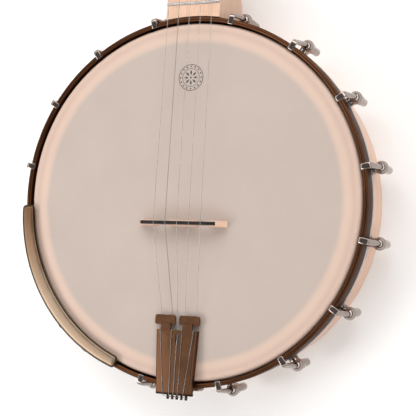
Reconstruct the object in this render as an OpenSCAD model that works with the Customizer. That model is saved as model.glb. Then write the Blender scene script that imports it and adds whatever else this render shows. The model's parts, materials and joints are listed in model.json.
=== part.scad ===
// Open-back five-string banjo, lying on the back of its rim: the head faces up
// and the neck runs along +Y. Sizes are in millimetres.

/* [Pot] */
// Outside diameter of the wooden rim
rim_d = 304.8; // [290:0.1:320]
// Wall thickness of the rim
rim_wall = 15; // [12:0.5:17]
// Height of the rim
rim_h = 69.85; // [68:0.05:76]
// Thickness of the drum head
head_t = 0.35; // [0.25:0.05:0.5]
// Radial thickness of the tension hoop
hoop_t = 4; // [3.5:0.1:5]
// Height of the tension hoop
hoop_h = 16.2; // [14:0.1:18]
// Height of the flesh hoop below it
flesh_h = 5; // [4:0.1:6]

/* [Brackets] */
// Hooks on each side of the pot
hooks_per_side = 8; // [6:1:9]
// Angle from the neck or the tail to the nearest hook
first_hook = 13.27; // [13:0.01:15]
// Diameter of a hook's shank
hook_d = 4.4; // [3.5:0.1:4.6]
// Distance of a hook's shank from the centre of the pot
hook_r = 163.5; // [163:0.1:166]
// Height of the bracket shoes above the back of the rim
shoe_z = 42; // [40:0.5:44]
// Length of a bracket nut
bracket_nut_len = 24; // [18:0.5:26]

/* [Neck] */
// Speaking length of the strings, from nut to bridge
scale_len = 666.75; // [640:0.25:680]
// Number of frets
fret_count = 22; // [17:1:22]
// Half the width of the neck where it meets the pot
neck_half_pot = 24.8; // [24:0.1:26]
// Thickness of the neck at the nut
neck_depth = 20.5; // [19:0.1:22]
// Depth of the heel at the pot
heel_depth = 63; // [58:0.5:64]
// Height of the fingerboard at the nut
nut_z = 47.5; // [46.5:0.1:50]
// Height of the fingerboard where it meets the pot
board_z = 71; // [70:0.1:72]
// Width of the nut
nut_w = 31.7; // [31:0.1:33]

/* [Peghead] */
// Length of the peghead past the nut
peghead_len = 152; // [148:1:156]
// Thickness of the peghead
peghead_t = 13; // [12:0.5:13]
// Angle of the peghead below the neck
peghead_pitch = 7.5; // [5:0.5:7.5]
// Half the distance between the two rows of tuners
tuner_half = 23; // [22:0.5:24]
// Distance from the nut to the first pair of tuners
tuner_near = 40; // [38:1:42]
// Distance from the nut to the second pair of tuners
tuner_far = 94; // [90:1:96]

/* [Strings] */
// Distance between strings at the bridge
gap_bridge = 10.8; // [10:0.1:11]
// Distance between strings at the nut
gap_nut = 8.3; // [8:0.1:8.5]
// Height of the bridge
bridge_h = 15.9; // [15:0.1:16.5]
// Length of the bridge's feet
bridge_len = 79.5; // [74:0.5:82]
// How far the bridge stands towards the bass side of the centre line
bridge_shift = 0.9; // [0:0.1:4]
// How far the strings stand towards the bass side at the bridge
string_shift = 0.9; // [0:0.1:2]
// Distance from the pot's centre to the bridge, towards the tail
bridge_y = 19.2; // [19:0.1:19.5]

/* [Tailpiece and armrest] */
// Half width of the tailpiece at its front end
tail_half_front = 18.8; // [18:0.1:19]
// Half width of the tailpiece at its rear end
tail_half_rear = 16.2; // [16:0.1:17]
// Thickness of the tailpiece's sheet metal
tail_t = 1.4; // [1.2:0.1:1.6]
// Angle at which the armrest starts, from +X
armrest_from = 182.2; // [182:0.1:184]
// Angle at which the armrest ends, from +X
armrest_to = 247.3; // [246:0.1:248]
// Thickness of the armrest's plate
armrest_t = 1.6; // [1.4:0.1:2]

/* [Hidden] */
$fn = 96;
// gap between pieces that only meet
seat = 0.02;
// radial clearance of a running fit
run = 0.05;
// radial clearance of a bolt in a plain hole
bolt_gap = 0.1;

maple = [0.90, 0.74, 0.56];
rim_maple = [0.87, 0.69, 0.52];
head_c = [0.87, 0.80, 0.73];
bronze = [0.36, 0.24, 0.15];
bronze_light = [0.67, 0.52, 0.37];
nickel = [0.80, 0.79, 0.77];
steel = [0.70, 0.70, 0.70];
alloy = [0.66, 0.68, 0.71];
ebony = [0.10, 0.08, 0.07];
bone = [0.95, 0.93, 0.86];
pearl = [0.88, 0.90, 0.88];

// --- pot ---
rim_r = rim_d / 2;
rim_in = rim_r - rim_wall;
head_z = rim_h + seat + head_t;
collar_in = rim_r + seat;
collar_out = collar_in + head_t;
flesh_in = collar_out + 0.1;
hoop_in = rim_r + 1.1;
hoop_out = hoop_in + hoop_t;
hoop_top = head_z + 1.7;
hoop_low = hoop_top - hoop_h;
flesh_top = hoop_low - seat;
flesh_low = flesh_top - flesh_h;
lip_z = flesh_low + flesh_h / 2;
lip_out = flesh_in + 2.2;

// --- brackets ---
hook_step = (180 - 2 * first_hook) / (hooks_per_side - 1);
hook_angles = [
    for (side = [-1, 1]) for (i = [0:hooks_per_side - 1]) 90 + side * (first_hook + i * hook_step)
];
hook_t = 2;
hook_w = 5;
hook_top = hoop_top + 0.6;
hook_bend = 2;
hook_top_r = 160.2;
hook_knee_z = 50;
notch_depth = hook_t - 0.6 + seat;
shoe_ball = 5.6;
nut_seat_z = shoe_z - 4.6;
bolt_r = 2.3;
shoe_bolt_end = rim_r + 5.5;
shoe_base_r = 6.5;
shoe_neck_r = 4.2;
washer_t = 1.2;
inner_seat = rim_in - 0.25;

// --- coordinator rod and neck bolts ---
rod_r = 4.76;
rod_z = 30;
upper_bolt_z = 47;
neck_bolt_r = 3;
neck_bolt_in = 34;
rod_washer_r = 8;
rod_nut_t = 5;
rod_tip = inner_seat - washer_t - 0.06;
strap_y = hoop_out + 0.9;
strap_t = 2;

// --- neck frame: origin on the fingerboard at the nut, +Y to the peghead ---
pot_edge = hoop_out + 0.7;
nut_y = sqrt(scale_len * scale_len - pow(head_z + bridge_h - nut_z, 2)) - bridge_y + 2.4;
neck_angle = atan((board_z - nut_z) / (nut_y - pot_edge));
heel_end = -(nut_y - rim_r + 4) / cos(neck_angle);
heel_flat = -(nut_y - 178) / cos(neck_angle);
heel_start = -(nut_y - 240) / cos(neck_angle);
peghead_x = gap_nut / 2;
nut_ledge = 1.5;
neck_side = 4;
neck_back_points = 22;

function fret_y(n) = -scale_len * (1 - pow(2, -n / 12));
function ease(t) = let (c = min(1, max(0, t))) c * c * (3 - 2 * c);
function mix(a, b, t) = a + (b - a) * t;
function along(y) = (y - heel_end) / (0 - heel_end);
function right_edge(y) = mix(neck_half_pot, peghead_x + nut_w / 2, along(y));
function wide_left(y) = mix(-neck_half_pot, -peghead_x - nut_w / 2, along(y));
function narrow_left(y) = mix(-neck_half_pot + gap_bridge, peghead_x - nut_w / 2, along(y));
shoulder_from = fret_y(5) + 20;
shoulder_to = fret_y(5) + 40;
function left_edge(y) =
    mix(wide_left(y), narrow_left(y), ease((y - shoulder_from) / (shoulder_to - shoulder_from)));
function heel_part(y) = ease((heel_start - y) / (heel_start - heel_flat));
function back_depth(y) = mix(neck_depth, neck_depth + 2.5, 1 - along(min(0, y)));
function depth_at(y) = y > 0 ? neck_depth - 0.02 * y : mix(back_depth(y), heel_depth, heel_part(y));
function squareness(y) = mix(2.3, 7.5, heel_part(y));
function top_at(y) = y > 0 ? -nut_ledge - 0.5 - 0.14 * y : 0;

function turn_x(p, a) = [p[0], p[1] * cos(a) - p[2] * sin(a), p[1] * sin(a) + p[2] * cos(a)];
function neck_to_pot(p) = turn_x(p, -neck_angle) + [0, nut_y, nut_z];
function peghead_to_pot(p) = neck_to_pot(turn_x(p, -peghead_pitch) + [peghead_x, 0, -nut_ledge]);

// --- strings, numbered 1 to 5 from the treble side ---
string_r = [0.19, 0.19, 0.21, 0.27, 0.19];
bridge_top = head_z + bridge_h;
string_nut_z = 1.6;
tail_x = -1.9;
tail_rear_y = -163;
tail_front_y = -109.1;
tail_rear_z = 79.4;
tail_front_z = 76.4;
tail_tilt = atan((tail_rear_z - tail_front_z) / (tail_front_y - tail_rear_y));
tail_len = (tail_front_y - tail_rear_y) / cos(tail_tilt);
pin_x = [8.2, 4, -0.2, -4.4, -8.6];
tail_rear_x = [7.7, 2.7, -1.2, -5.2, -10.9];
tail_front_x = [14, 3.6, -0.9, -6.1, -16.7];
tail_bar_x = [14.7, 4, -0.9, -7.2, -17.2];
pin_z = 73.6;
string_lift = 0.1;

// --- tailpiece, in its own frame: origin at the middle of its rear edge ---
t_bar_gap = 1.8;
t_bar_half = 20.5;
t_bar_len = 8.3;
t_drop = 1;
stem_from = 5.6;
stem_to = 14.4;
stem_len = 5.5;
flange_h = 5.4;
slot_x = 1.3;
slot_r = 1.7;
slot_y = [tail_len - 10, tail_len - 4.4];
t_bar_y = tail_len + stem_len - tail_t;
pin_r = 1.1;
pin_len = 4.3;
pin_root = 0.5;
loop_r = 1.5;
pin_back = 2.2;
tail_screw_x = [-6, 6];
tail_screw_y = 9;
tail_screw_r = 1.2;
function tail_to_pot(p) = turn_x(p, -tail_tilt) + [0, tail_rear_y, tail_rear_z];

// --- armrest: its two edges are circles set off towards its middle ---
armrest_mid = (armrest_from + armrest_to) / 2 - 4;
armrest_low = hook_top + 0.9;
armrest_outer_off = 20;
armrest_outer_r = 142.6;
armrest_inner_off = 7;
armrest_inner_r = 141.6;
skirt_h = 7;
clamp_angles = [for (i = [4.5, 5.5]) 90 + first_hook + i * hook_step];
clamp_z = armrest_low - 4;
arm_bolt_r = 1.25;
function skirt_reach(a) = let (t = a - armrest_mid)
    armrest_outer_off * cos(t) + sqrt(pow(armrest_outer_r, 2) - pow(armrest_outer_off * sin(t), 2));

// --- bridge ---
cap_h = 2.6;
bridge_foot_t = 5.6;
bridge_top_t = 3.2;
cap_inset = 6;

// --- inlays ---
inlay_r = 3;
inlay_t = 1.2;
inlay_frets = [3, 5, 7, 10, 15, 17, 19];
function between_frets(n) = (fret_y(n) + fret_y(n - 1)) / 2;
function board_mid(y) = (left_edge(y) + right_edge(y)) / 2;
inlay_at = concat(
    [for (n = inlay_frets) let (y = between_frets(n)) [board_mid(y), y]],
    [for (x = [-8, 8]) let (y = between_frets(12)) [board_mid(y) + x, y]]
);

// --- the whole banjo stands centred over the origin ---
y_low = tail_rear_y - pin_len + pin_root - 0.38;
y_high = peghead_to_pot([0, peghead_len, 0])[1];
y_mid = (y_low + y_high) / 2;

// --- tuners: [side, distance from the nut] for strings 1 to 4 ---
tuners = [[1, tuner_near], [1, tuner_far], [-1, tuner_far], [-1, tuner_near]];
post_r = 3;
post_top = 13;
post_low = -peghead_t - 10.5;
gear_z = -peghead_t - 6.5;
gear_r = 5.2;
worm_r = 2.6;
worm_y = gear_r + worm_r + 0.3;
worm_shaft_r = 2;
coil_turns = 4;
string_post_z = 5.1;
housing_u = [-8, 10.5];
housing_y = [-7.5, 12.5];
housing_z = [-peghead_t - 13, -peghead_t - seat];
housing_wall = 1.6;
bushing_r = 4.8;
tuner_washer_t = 0.9;
button_u = 33.5;
button_r = 8;
button_t = 7;
tuner_screw_u = -5.4;
tuner_screw_y = -11;
tuner_screw_r = 1;
lug_t = 1.6;

// --- fifth-string peg, with its axis along -X ---
peg_y = fret_y(5) + 13;
peg_z = -4.5;
peg_face = wide_left(peg_y) - 0.1;
spool_r = 4;
spool_len = 6.4;
peg_body_r = 7.2;
peg_body_len = 13.5;
peg_shank = 13;
peg_shank_r = 3.2;
peg_core_r = 2.5;
peg_collar = 0.9;
peg_shaft_r = 2;
spool_from = peg_collar + 0.1;
peg_body_from = spool_from + spool_len + 0.1;
peg_body_end = peg_body_from + peg_body_len;
pip_y = fret_y(5) + 3;
pip_r = 1.6;
pip_top = 1.6;

// ---------- placing ----------

// Puts a shape drawn about the pot's centre into the banjo's own frame.
module at_pot() {
    translate([0, -y_mid, 0]) children();
}

// Draws a shape once at every hook, with +X pointing away from the pot's centre.
module at_each_hook() {
    for (a = hook_angles) at_pot() rotate([0, 0, a]) children();
}

module at_neck() {
    at_pot() translate([0, nut_y, nut_z]) rotate([-neck_angle, 0, 0]) children();
}

module at_peghead() {
    at_neck() translate([peghead_x, 0, -nut_ledge]) rotate([-peghead_pitch, 0, 0]) children();
}

// Stands on one tuner's post, with +X pointing outwards from the peghead.
module at_tuner(n) {
    side = tuners[n - 1][0];
    at_peghead() translate([side * tuner_half, tuners[n - 1][1], 0]) scale([side, 1, 1]) children();
}

module at_worm(n) {
    at_tuner(n) translate([0, worm_y, gear_z]) rotate([0, 90, 0]) children();
}

// Starts on the side of the neck, with +Z pointing out along the fifth peg.
module at_fifth_peg() {
    at_neck() translate([peg_face, peg_y, peg_z]) rotate([0, -90, 0]) children();
}

module at_tailpiece() {
    at_pot() translate([tail_x, tail_rear_y, tail_rear_z]) rotate([-tail_tilt, 0, 0]) children();
}

// A round bar between two points.
module bar(a, b, r) {
    d = b - a;
    translate(a) rotate([0, acos(d[2] / norm(d)), atan2(d[1], d[0])]) cylinder(h = norm(d), r = r, $fn = 24);
}

// A round wire along a list of points. Its knees are a little fuller than the wire.
module wire(points, r) {
    for (i = [0:len(points) - 2]) bar(points[i], points[i + 1], r);
    for (i = [1:len(points) - 2]) translate(points[i]) sphere(r = r * 1.04, $fn = 24);
}

module ring(inner, outer, low, high) {
    translate([0, 0, low]) difference() {
        cylinder(h = high - low, r = outer, $fn = 180);
        translate([0, 0, -1]) cylinder(h = high - low + 2, r = inner, $fn = 180);
    }
}

// ---------- pot ----------

function arc(cx, cy, r, from, to, n) =
    [for (i = [0:n]) let (a = mix(from, to, i / n)) [cx + r * cos(a), cy + r * sin(a)]];

module rim_profile() {
    crest = 4;
    foot = 2;
    polygon(concat(
        arc(rim_in + foot, foot, foot, 180, 270, 5),
        arc(rim_r - foot, foot, foot, 270, 360, 5),
        arc(rim_r - crest, rim_h - crest, crest, 0, 90, 8),
        [[rim_in + 1, rim_h - 1.5], [rim_in, rim_h - 2.5]]
    ));
}

module rim() {
    through = rim_wall + 4;
    color(rim_maple) difference() {
        at_pot() rotate_extrude($fn = 240) rim_profile();
        at_each_hook() translate([rim_in - 2, 0, shoe_z]) rotate([0, 90, 0])
            cylinder(h = through, r = bolt_r + bolt_gap);
        for (z = [rod_z, upper_bolt_z]) at_pot() translate([0, rim_in - 2, z]) rotate([-90, 0, 0])
            cylinder(h = through, r = neck_bolt_r + bolt_gap);
        at_pot() translate([0, -rim_in + 2, rod_z]) rotate([90, 0, 0])
            cylinder(h = through, r = neck_bolt_r + bolt_gap);
    }
}

// The head's skin, with its collar turned down over the rim and its lip turned out.
module head_profile() {
    crest = 4 + seat;
    outer = crest + head_t;
    cx = collar_in - crest;
    cy = rim_h + seat - crest;
    polygon(concat(
        [[0, head_z], [0, head_z - head_t]],
        arc(cx, cy, crest, 90, 0, 8),
        [[collar_in, lip_z - head_t], [lip_out, lip_z - head_t], [lip_out, lip_z], [collar_out, lip_z]],
        arc(cx, cy, outer, 0, 90, 8)
    ));
}

module head() {
    color(head_c) at_pot() rotate_extrude($fn = 240) head_profile();
}

module flesh_hoop() {
    lip_slot = head_t / 2 + 0.1;
    color(alloy) at_pot() difference() {
        ring(flesh_in, hoop_out - 0.2, flesh_low, flesh_top);
        ring(flesh_in - 1, lip_out + 0.1, lip_z - head_t / 2 - lip_slot, lip_z - head_t / 2 + lip_slot);
    }
}

module tension_hoop() {
    color(bronze) difference() {
        at_pot() ring(hoop_in, hoop_out, hoop_low, hoop_top);
        at_each_hook() translate([hoop_in - 1, -hook_w / 2 - 0.2, hoop_top - notch_depth])
            cube([hoop_t + 2, hook_w + 0.4, notch_depth + 1]);
    }
}

// ---------- brackets ----------

// A flat end lies in the hoop's notch, then bends down into a round shank.
module tension_hooks() {
    bend_x = hook_top_r - hook_bend;
    bend_z = hook_top - hook_t / 2 - hook_bend;
    shank_low = nut_seat_z - bracket_nut_len + 4;
    lean = atan((hook_r - hook_top_r) / (bend_z - hook_knee_z));
    color(nickel) at_each_hook() {
        translate([hoop_in - 0.1, -hook_w / 2, hook_top - hook_t])
            cube([bend_x - hoop_in + 0.1, hook_w, hook_t]);
        translate([bend_x, 0, bend_z]) rotate([90, 0, 0]) rotate_extrude(angle = 90, $fn = 48)
            translate([hook_bend - hook_t / 2, -hook_w / 2]) square([hook_t, hook_w]);
        translate([hook_top_r, 0, bend_z]) rotate([0, 180 - lean, 0])
            cylinder(h = (bend_z - hook_knee_z) / cos(lean), r = hook_d / 2);
        translate([hook_r, 0, hook_knee_z]) sphere(r = hook_d / 2 * 1.04);
        translate([hook_r, 0, shank_low]) cylinder(h = hook_knee_z - shank_low, r = hook_d / 2);
    }
}

module bracket_shoes() {
    color(nickel) at_each_hook() difference() {
        union() {
            translate([rim_r + seat, 0, shoe_z]) rotate([0, 90, 0]) cylinder(h = 2.6, r = shoe_base_r);
            translate([rim_r + 1, 0, shoe_z]) rotate([0, 90, 0])
                cylinder(h = hook_r - rim_r - 1, r = shoe_neck_r);
            translate([hook_r, 0, shoe_z]) sphere(r = shoe_ball);
        }
        translate([hook_r, 0, shoe_z - 10]) cylinder(h = 20, r = hook_d / 2 + run);
        translate([rim_r - 1, 0, shoe_z]) rotate([0, 90, 0])
            cylinder(h = shoe_bolt_end - rim_r + 1.5, r = bolt_r + run);
        translate([hook_r - 8, -8, nut_seat_z - 5]) cube([16, 16, 5]);
    }
}

module shoe_bolts() {
    color(nickel) at_each_hook() translate([inner_seat - washer_t - 0.04, 0, shoe_z]) rotate([0, 90, 0]) {
        cylinder(h = shoe_bolt_end - inner_seat + washer_t, r = bolt_r);
        translate([0, 0, -3]) cylinder(h = 3, r = 4.6, $fn = 6);
    }
}

module shoe_washers() {
    at = inner_seat - washer_t;
    color(nickel) at_each_hook() translate([at, 0, shoe_z]) rotate([0, 90, 0]) difference() {
        cylinder(h = washer_t, r = 6);
        translate([0, 0, -1]) cylinder(h = washer_t + 2, r = bolt_r + bolt_gap);
    }
}

// A long closed nut: hexagonal at the shoe, round below, with a domed end.
module bracket_nuts() {
    body_r = 3.6;
    color(nickel) at_each_hook() translate([hook_r, 0, nut_seat_z - bracket_nut_len]) difference() {
        union() {
            translate([0, 0, body_r]) cylinder(h = bracket_nut_len - body_r - seat, r = body_r);
            translate([0, 0, body_r]) sphere(r = body_r);
            translate([0, 0, bracket_nut_len - 8]) cylinder(h = 8 - seat, r = 4.5, $fn = 6);
        }
        translate([0, 0, body_r]) cylinder(h = bracket_nut_len, r = hook_d / 2 + run);
    }
}

// ---------- coordinator rod and neck bolts ----------

module coordinator_rod() {
    tap_depth = 15;
    color(steel) at_pot() translate([0, -rod_tip, rod_z]) rotate([-90, 0, 0]) difference() {
        cylinder(h = 2 * rod_tip - rod_nut_t - seat, r = rod_r);
        translate([0, 0, -1]) cylinder(h = tap_depth + 1, r = neck_bolt_r + run);
        translate([0, 0, 2 * rod_tip - rod_nut_t - tap_depth])
            cylinder(h = tap_depth + 1, r = neck_bolt_r + run);
    }
}

// Comes in through the tailpiece's bracket and the rim, into the end of the rod.
module rod_end_bolt() {
    color(nickel) at_pot() translate([0, -strap_y - strap_t - seat, rod_z]) rotate([-90, 0, 0]) {
        cylinder(h = strap_y + strap_t - rod_tip + 13, r = neck_bolt_r);
        translate([0, 0, -3.2]) cylinder(h = 3.2, r = 5.4);
        translate([0, 0, -4]) cylinder(h = 1, r = 4.6, $fn = 6);
    }
}

// Two hanger bolts hold the heel against the rim. The rod screws on to the lower one.
module neck_bolts() {
    in_rod = 18;
    past_nut = 9;
    color(steel) at_pot() for (bolt = [[rod_z, in_rod], [upper_bolt_z, past_nut]])
        translate([0, rod_tip - bolt[1], bolt[0]]) rotate([-90, 0, 0])
            cylinder(h = rim_r + neck_bolt_in - rod_tip + bolt[1], r = neck_bolt_r);
}

module neck_nuts() {
    color(nickel) at_pot() for (z = [rod_z, upper_bolt_z])
        translate([0, rod_tip - rod_nut_t, z]) rotate([-90, 0, 0]) difference() {
            cylinder(h = rod_nut_t, r = 6.3, $fn = 6);
            translate([0, 0, -1]) cylinder(h = rod_nut_t + 2, r = neck_bolt_r + run);
        }
}

module rim_washer() {
    difference() {
        cylinder(h = washer_t, r = rod_washer_r);
        translate([0, 0, -1]) cylinder(h = washer_t + 2, r = neck_bolt_r + bolt_gap);
    }
}

module rim_washers() {
    color(nickel) at_pot() {
        for (z = [rod_z, upper_bolt_z]) translate([0, rod_tip + seat, z]) rotate([-90, 0, 0]) rim_washer();
        translate([0, -rod_tip - seat, rod_z]) rotate([90, 0, 0]) rim_washer();
    }
}

// ---------- tailpiece ----------

// The stamped cover's outline, from its rear bend to the roots of its two tongues.
module tail_outline(inset) {
    polygon([
        [-tail_half_rear + inset, 0], [tail_half_rear - inset, 0],
        [tail_half_front - inset, tail_len], [-tail_half_front + inset, tail_len]
    ]);
}

module tail_tongue() {
    translate([stem_from, tail_len - 0.5, -tail_t]) cube([stem_to - stem_from, 0.5 + stem_len, tail_t]);
    translate([stem_from, t_bar_y, -t_drop - tail_t]) cube([stem_to - stem_from, tail_t, t_drop + tail_t]);
    translate([t_bar_gap, t_bar_y, -t_drop - tail_t]) cube([t_bar_half - t_bar_gap, t_bar_len, tail_t]);
}

module tailpiece() {
    color(bronze) at_tailpiece() difference() {
        union() {
            translate([0, 0, -tail_t]) linear_extrude(tail_t) tail_outline(0);
            translate([0, 0, -flange_h]) linear_extrude(flange_h) difference() {
                tail_outline(0);
                translate([0, -1]) tail_outline(tail_t);
                translate([0, 1]) tail_outline(tail_t);
            }
            translate([-tail_half_rear, 0, -flange_h - 1]) cube([2 * tail_half_rear, tail_t, flange_h + 1]);
            for (side = [-1, 1]) scale([side, 1, 1]) tail_tongue();
            for (x = pin_x) translate([x - tail_x, pin_root, pin_z - tail_rear_z]) rotate([90, 0, 0])
                cylinder(h = pin_len, r = pin_r, $fn = 24);
        }
        for (y = slot_y) translate([slot_x, y, -5]) cylinder(h = 10, r = slot_r, $fn = 32);
        translate([slot_x - slot_r, slot_y[0], -5]) cube([2 * slot_r, slot_y[1] - slot_y[0], 10]);
        for (x = tail_screw_x) translate([x, tail_screw_y, -5])
            cylinder(h = 5 - tail_t / 2, r = tail_screw_r + run, $fn = 32);
    }
}

// A strap under the tailpiece that turns down outside the hoop to the rod's end bolt.
module tailpiece_bracket() {
    half = 12;
    flange_len = 13;
    strap_low = rod_z - 9;
    strap_top = tail_rear_z - tail_t - 1.8;
    strap_from = -strap_y - strap_t;
    color(bronze) difference() {
        union() {
            at_tailpiece() translate([-half, strap_from - tail_rear_y, -tail_t - seat - strap_t])
                cube([2 * half, flange_len, strap_t]);
            at_pot() translate([tail_x - half, strap_from, strap_low])
                cube([2 * half, strap_t, strap_top - strap_low]);
        }
        for (x = tail_screw_x) at_tailpiece() translate([x, tail_screw_y, -8])
            cylinder(h = 8, r = tail_screw_r + 0.15, $fn = 32);
        at_pot() translate([0, -strap_y + 2, rod_z]) rotate([90, 0, 0])
            cylinder(h = 10, r = neck_bolt_r + bolt_gap);
    }
}

module tailpiece_screws() {
    under = -tail_t - 2 * seat - strap_t;
    color(nickel) at_tailpiece() for (x = tail_screw_x) translate([x, tail_screw_y, under]) {
        cylinder(h = strap_t + tail_t / 2, r = tail_screw_r, $fn = 32);
        translate([0, 0, -1.2]) cylinder(h = 1.2, r = 2.3, $fn = 32);
    }
}

// ---------- armrest ----------

module armrest_disc(off, r) {
    translate([off * cos(armrest_mid), off * sin(armrest_mid)]) circle(r = r, $fn = 360);
}

module armrest_wedge() {
    far = 200;
    intersection() {
        rotate([0, 0, armrest_from]) square([far, far]);
        rotate([0, 0, armrest_to - 90]) square([far, far]);
    }
}

// The plate that the player's arm lies on, cut to the wedge between its two ends.
module armrest_plate() {
    translate([0, 0, armrest_low]) linear_extrude(armrest_t) intersection() {
        armrest_wedge();
        difference() {
            armrest_disc(armrest_outer_off, armrest_outer_r);
            armrest_disc(armrest_inner_off, armrest_inner_r);
        }
    }
}

// The skirt turned down from its outer edge, with a gap over each hook and clear of the hoop.
module armrest_skirt() {
    gap_half = hook_w / 2 + 0.8;
    difference() {
        translate([0, 0, armrest_low - skirt_h]) linear_extrude(skirt_h + 0.5) intersection() {
            armrest_wedge();
            difference() {
                armrest_disc(armrest_outer_off, armrest_outer_r);
                armrest_disc(armrest_outer_off, armrest_outer_r - armrest_t);
            }
        }
        for (a = hook_angles) rotate([0, 0, a])
            translate([hoop_out - 1, -gap_half, armrest_low - skirt_h - 1])
                cube([12, 2 * gap_half, skirt_h + 1 - seat]);
        translate([0, 0, hoop_low]) cylinder(h = hoop_h + 0.2, r = hoop_out + 0.15, $fn = 180);
    }
}

module armrest() {
    color(bronze_light) difference() {
        at_pot() {
            armrest_plate();
            armrest_skirt();
        }
        for (a = clamp_angles) at_pot() rotate([0, 0, a]) translate([hoop_out - 1, 0, clamp_z])
            rotate([0, 90, 0]) cylinder(h = 12, r = arm_bolt_r + bolt_gap, $fn = 32);
    }
}

// Each bracket fills the gap behind the armrest's skirt and hooks in under the flesh hoop.
module armrest_brackets() {
    half = 4;
    foot = 2.6;
    foot_t = 2;
    from = hoop_out + 0.12;
    low = flesh_low - foot;
    color(bronze) for (a = clamp_angles) at_pot() rotate([0, 0, a]) difference() {
        union() {
            translate([from, -half, low])
                cube([skirt_reach(a) - armrest_t - 0.4 - from, 2 * half, armrest_low - low - 0.3]);
            translate([flesh_in + 0.4, -half, low]) cube([hoop_out - flesh_in, 2 * half, foot_t]);
        }
        translate([hoop_out - 1, 0, clamp_z]) rotate([0, 90, 0])
            cylinder(h = 12, r = arm_bolt_r + run, $fn = 32);
    }
}

module armrest_screws() {
    from = hoop_out + 0.15;
    screw_head_t = 1.6;
    color(nickel) for (a = clamp_angles) at_pot() rotate([0, 0, a]) translate([from, 0, clamp_z])
        rotate([0, 90, 0]) {
            cylinder(h = skirt_reach(a) + 0.5 - from, r = arm_bolt_r, $fn = 32);
            translate([0, 0, skirt_reach(a) + 0.1 - from]) cylinder(h = screw_head_t, r = 2.4, $fn = 32);
        }
}

// ---------- bridge ----------

module bridge_front() {
    half = bridge_len / 2;
    arch = 14;
    foot_h = 3;
    base_h = bridge_h - cap_h;
    difference() {
        polygon([
            [-half, 0], [half, 0], [half, foot_h],
            [half - cap_inset, base_h], [-half + cap_inset, base_h], [-half, foot_h]
        ]);
        for (side = [-1, 1]) translate([side * half * 0.47, 0]) {
            translate([-arch / 2, -1]) square([arch, foot_h + 1]);
            translate([0, foot_h]) circle(r = arch / 2, $fn = 64);
        }
        for (side = [-1, 0, 1]) translate([side * half * 0.36, base_h - 2.2]) circle(r = 1.1, $fn = 32);
    }
}

module bridge_side(low, high, low_half, high_half) {
    rotate([90, 0, 90]) translate([0, 0, -bridge_len]) linear_extrude(2 * bridge_len)
        polygon([[-low_half, low], [low_half, low], [high_half, high], [-high_half, high]]);
}

module at_bridge() {
    at_pot() translate([-bridge_shift, -bridge_y, head_z + seat]) children();
}

module bridge_base() {
    color(maple) at_bridge() intersection() {
        rotate([90, 0, 0]) translate([0, 0, -10]) linear_extrude(20) bridge_front();
        bridge_side(0, bridge_h - cap_h, bridge_foot_t / 2, bridge_top_t / 2);
    }
}

module bridge_cap() {
    half = bridge_len / 2 - cap_inset;
    color(ebony) difference() {
        at_bridge() translate([0, 0, bridge_h - cap_h + seat]) intersection() {
            translate([-half, -5, 0]) cube([2 * half, 10, cap_h - seat]);
            bridge_side(0, cap_h, bridge_top_t / 2, bridge_top_t / 2 - 0.5);
        }
        for (n = [1:5]) at_pot() bar(string_at_bridge(n) - [0, 4, 0], string_at_bridge(n) + [0, 4, 0], 0.45);
    }
}

// ---------- strings ----------

function string_at_bridge(n) = [(3 - n) * gap_bridge - string_shift, -bridge_y, bridge_top + 0.1];
function string_at_nut(n) = neck_to_pot([(3 - n) * gap_nut, 2.4, string_nut_z]);

// Where a string leaves the tailpiece. The middle one dives through the slot and under the front
// edge. The others dive off the front edge and run under the tongues' bars.
function string_exit(n) =
    let (
        r = string_r[n - 1], x = tail_front_x[n - 1], under = -tail_t - r - string_lift,
        y = n == 3 ? [slot_y[0] - slot_r + 0.3, slot_y[1] + 0.6, tail_len + 0.3]
            : [tail_len + 0.3, t_bar_y - 0.3, t_bar_y + t_bar_len + 0.1]
    )
    [
        tail_to_pot([x, y[0], r + string_lift]),
        tail_to_pot([x, y[1], n == 3 ? under : under - t_drop]),
        tail_to_pot([tail_bar_x[n - 1], y[2], n == 3 ? under : under - t_drop])
    ];

// The stretch from a string's pin, over the tailpiece's rear edge and its face, to the bridge.
function string_tail(n) = let (r = string_r[n - 1], i = n - 1) concat(
    [
        [pin_x[i], tail_rear_y - pin_back, pin_z + loop_r],
        tail_to_pot([tail_rear_x[i], -r - string_lift, string_lift]),
        tail_to_pot([tail_rear_x[i], 0.5, r + string_lift])
    ],
    string_exit(n),
    [string_at_bridge(n)]
);

function post_xy(n) = [tuners[n - 1][0] * tuner_half, tuners[n - 1][1]];

function string_at_post(n) = peghead_to_pot([
    post_xy(n)[0] - tuners[n - 1][0] * (post_r + string_r[n - 1] + 0.12), post_xy(n)[1], string_post_z
]);

fifth_x = mix(2 * gap_bridge, 2 * gap_nut, (nut_y + pip_y + bridge_y) / scale_len);
function fifth_head() = [
    neck_to_pot([-fifth_x, pip_y + pip_r + 0.4, pip_top + string_r[4]]),
    neck_to_pot([peg_face - 2.2, peg_y, peg_z + spool_r + string_r[4] + 0.12])
];

// The loop at a string's end, round its pin.
module string_loop(n) {
    r = string_r[n - 1];
    translate([pin_x[n - 1], tail_rear_y - pin_back, pin_z]) rotate([90, 0, 0]) rotate_extrude($fn = 32)
        translate([loop_r, 0]) circle(r = r, $fn = 16);
}

module string_run(n) {
    color(n == 4 ? bronze_light : steel) at_pot() {
        wire(
            concat(string_tail(n), n == 5 ? fifth_head() : [string_at_nut(n), string_at_post(n)]),
            string_r[n - 1]
        );
        string_loop(n);
    }
}

module string_1() { string_run(1); }
module string_2() { string_run(2); }
module string_3() { string_run(3); }
module string_4() { string_run(4); }
module string_5() { string_run(5); }

// The turns of a string round a post of radius r, along +Z.
module coil(n, r) {
    wire_r = string_r[n - 1];
    for (i = [0:coil_turns - 1]) translate([0, 0, i * (2 * wire_r + seat)]) rotate_extrude($fn = 48)
        translate([r + wire_r + 0.02, 0]) circle(r = wire_r, $fn = 16);
}

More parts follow.
